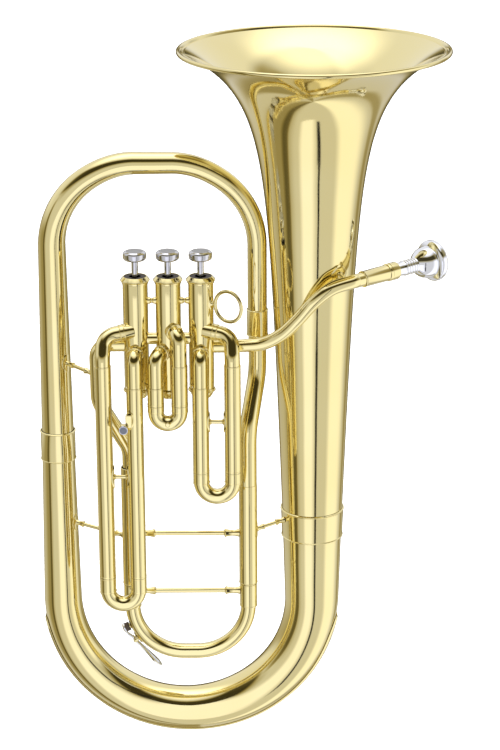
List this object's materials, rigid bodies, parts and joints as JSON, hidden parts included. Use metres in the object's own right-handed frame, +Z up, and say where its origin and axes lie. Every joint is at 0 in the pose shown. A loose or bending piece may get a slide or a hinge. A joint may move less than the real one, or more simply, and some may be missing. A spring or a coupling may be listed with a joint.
{
  "type": "euphonium",
  "caption": "Brass wind instrument with an upright flared bell, piston valves worked from the top, bent tubing and tuning slides",
  "frame": {"origin": "lowest outer point of the bottom bow, on its guard plate", "axes": "+Z up along the bell axis to its rim, +X from the left branch towards the bell, +Y away from the side that carries the valve slides"},
  "size_m": [0.3933, 0.254, 0.6917],
  "materials": {
    "lacquered_brass": "clear-lacquered yellow brass, mirror polished",
    "silver_plate": "polished silver plate",
    "nickel_plate": "polished nickel plate",
    "spring_steel": "drawn spring wire",
    "cork": "dark matt cork"
  },
  "bodies": {
    "horn": {"bell": "lacquered_brass", "bell_ferrule": "lacquered_brass", "bottom_bow": "lacquered_brass", "bow_guard": "lacquered_brass", "branch_ferrule": "lacquered_brass", "top_bow": "lacquered_brass", "top_bow_ferrule": "lacquered_brass", "descending_branch": "lacquered_brass", "tuning_sleeve_right": "lacquered_brass", "tuning_sleeve_left": "lacquered_brass", "valve_exit_branch": "lacquered_brass", "valve_casing_1": "lacquered_brass", "valve_casing_2": "lacquered_brass", "valve_casing_3": "lacquered_brass", "top_cap_1": "lacquered_brass", "top_cap_2": "lacquered_brass", "top_cap_3": "lacquered_brass", "bottom_cap_1": "lacquered_brass", "bottom_cap_2": "lacquered_brass", "bottom_cap_3": "lacquered_brass", "casing_tie_12": "lacquered_brass", "casing_tie_23": "lacquered_brass", "port_tube_12": "lacquered_brass", "port_tube_23": "lacquered_brass", "first_sleeve_left": "lacquered_brass", "first_sleeve_right": "lacquered_brass", "second_sleeve_left": "lacquered_brass", "second_sleeve_right": "lacquered_brass", "third_sleeve_left": "lacquered_brass", "third_sleeve_right": "lacquered_brass", "first_slide_brace": "lacquered_brass", "third_slide_brace": "lacquered_brass", "leadpipe": "lacquered_brass", "mouthpiece_receiver": "lacquered_brass", "leadpipe_brace": "lacquered_brass", "finger_ring": "lacquered_brass", "sleeve_brace": "lacquered_brass", "lower_branch_brace": "lacquered_brass", "bell_brace": "lacquered_brass", "upper_branch_brace": "lacquered_brass", "lyre_holder": "lacquered_brass", "valve_spring_1": "spring_steel", "valve_spring_2": "spring_steel", "valve_spring_3": "spring_steel"},
    "valve_1": {"piston_1": "nickel_plate", "button_1": "nickel_plate"},
    "valve_2": {"piston_2": "nickel_plate", "button_2": "nickel_plate"},
    "valve_3": {"piston_3": "nickel_plate", "button_3": "nickel_plate"},
    "first_slide": {"first_slide": "lacquered_brass"},
    "second_slide": {"second_slide": "lacquered_brass"},
    "third_slide": {"third_slide": "lacquered_brass"},
    "tuning_slide": {"main_tuning_slide": "lacquered_brass", "tuning_slide_brace": "lacquered_brass", "water_key_saddle": "lacquered_brass"},
    "water_key": {"water_key_lever": "silver_plate", "water_key_pad": "cork"},
    "mouthpiece": {"mouthpiece": "silver_plate"},
    "lyre_screw": {"lyre_screw": "nickel_plate"}
  },
  "joints": [
    {"name": "valve_1_stroke", "type": "slide", "parent": "horn", "child": "valve_1", "axis": [0, 0, -1], "range_m": [0, 0.0145], "stiffness_N_per_m": 150, "springref_m": -0.012, "deforming": ["valve_spring_1"]},
    {"name": "valve_2_stroke", "type": "slide", "parent": "horn", "child": "valve_2", "axis": [0, 0, -1], "range_m": [0, 0.0145], "stiffness_N_per_m": 150, "springref_m": -0.012, "deforming": ["valve_spring_2"]},
    {"name": "valve_3_stroke", "type": "slide", "parent": "horn", "child": "valve_3", "axis": [0, 0, -1], "range_m": [0, 0.0145], "stiffness_N_per_m": 150, "springref_m": -0.012, "deforming": ["valve_spring_3"]},
    {"name": "first_slide_pull", "type": "slide", "parent": "horn", "child": "first_slide", "axis": [0, 0, -1], "range_m": [0, 0.06]},
    {"name": "second_slide_pull", "type": "slide", "parent": "horn", "child": "second_slide", "axis": [0, 0, -1], "range_m": [0, 0.012]},
    {"name": "third_slide_pull", "type": "slide", "parent": "horn", "child": "third_slide", "axis": [0, 0, -1], "range_m": [0, 0.13]},
    {"name": "tuning_slide_pull", "type": "slide", "parent": "horn", "child": "tuning_slide", "axis": [0, 0, -1], "range_m": [0, 0.05]},
    {"name": "water_key_pivot", "type": "hinge", "parent": "tuning_slide", "child": "water_key", "pos_m": [-0.05121, -0.028, 0.11092], "axis": [0, -1, 0], "range_deg": [0, 10], "stiffness_Nm_per_rad": 0.05, "springref_deg": -17.19},
    {"name": "mouthpiece_pull", "type": "slide", "parent": "horn", "child": "mouthpiece", "axis": [0.8082, 0.5872, 0.0454], "range_m": [0, 0.03]},
    {"name": "lyre_screw_turn", "type": "hinge", "parent": "horn", "child": "lyre_screw", "pos_m": [-0.0556, -0.0692, 0.3462], "axis": [0, -1, 0], "continuous": true}
  ]
}
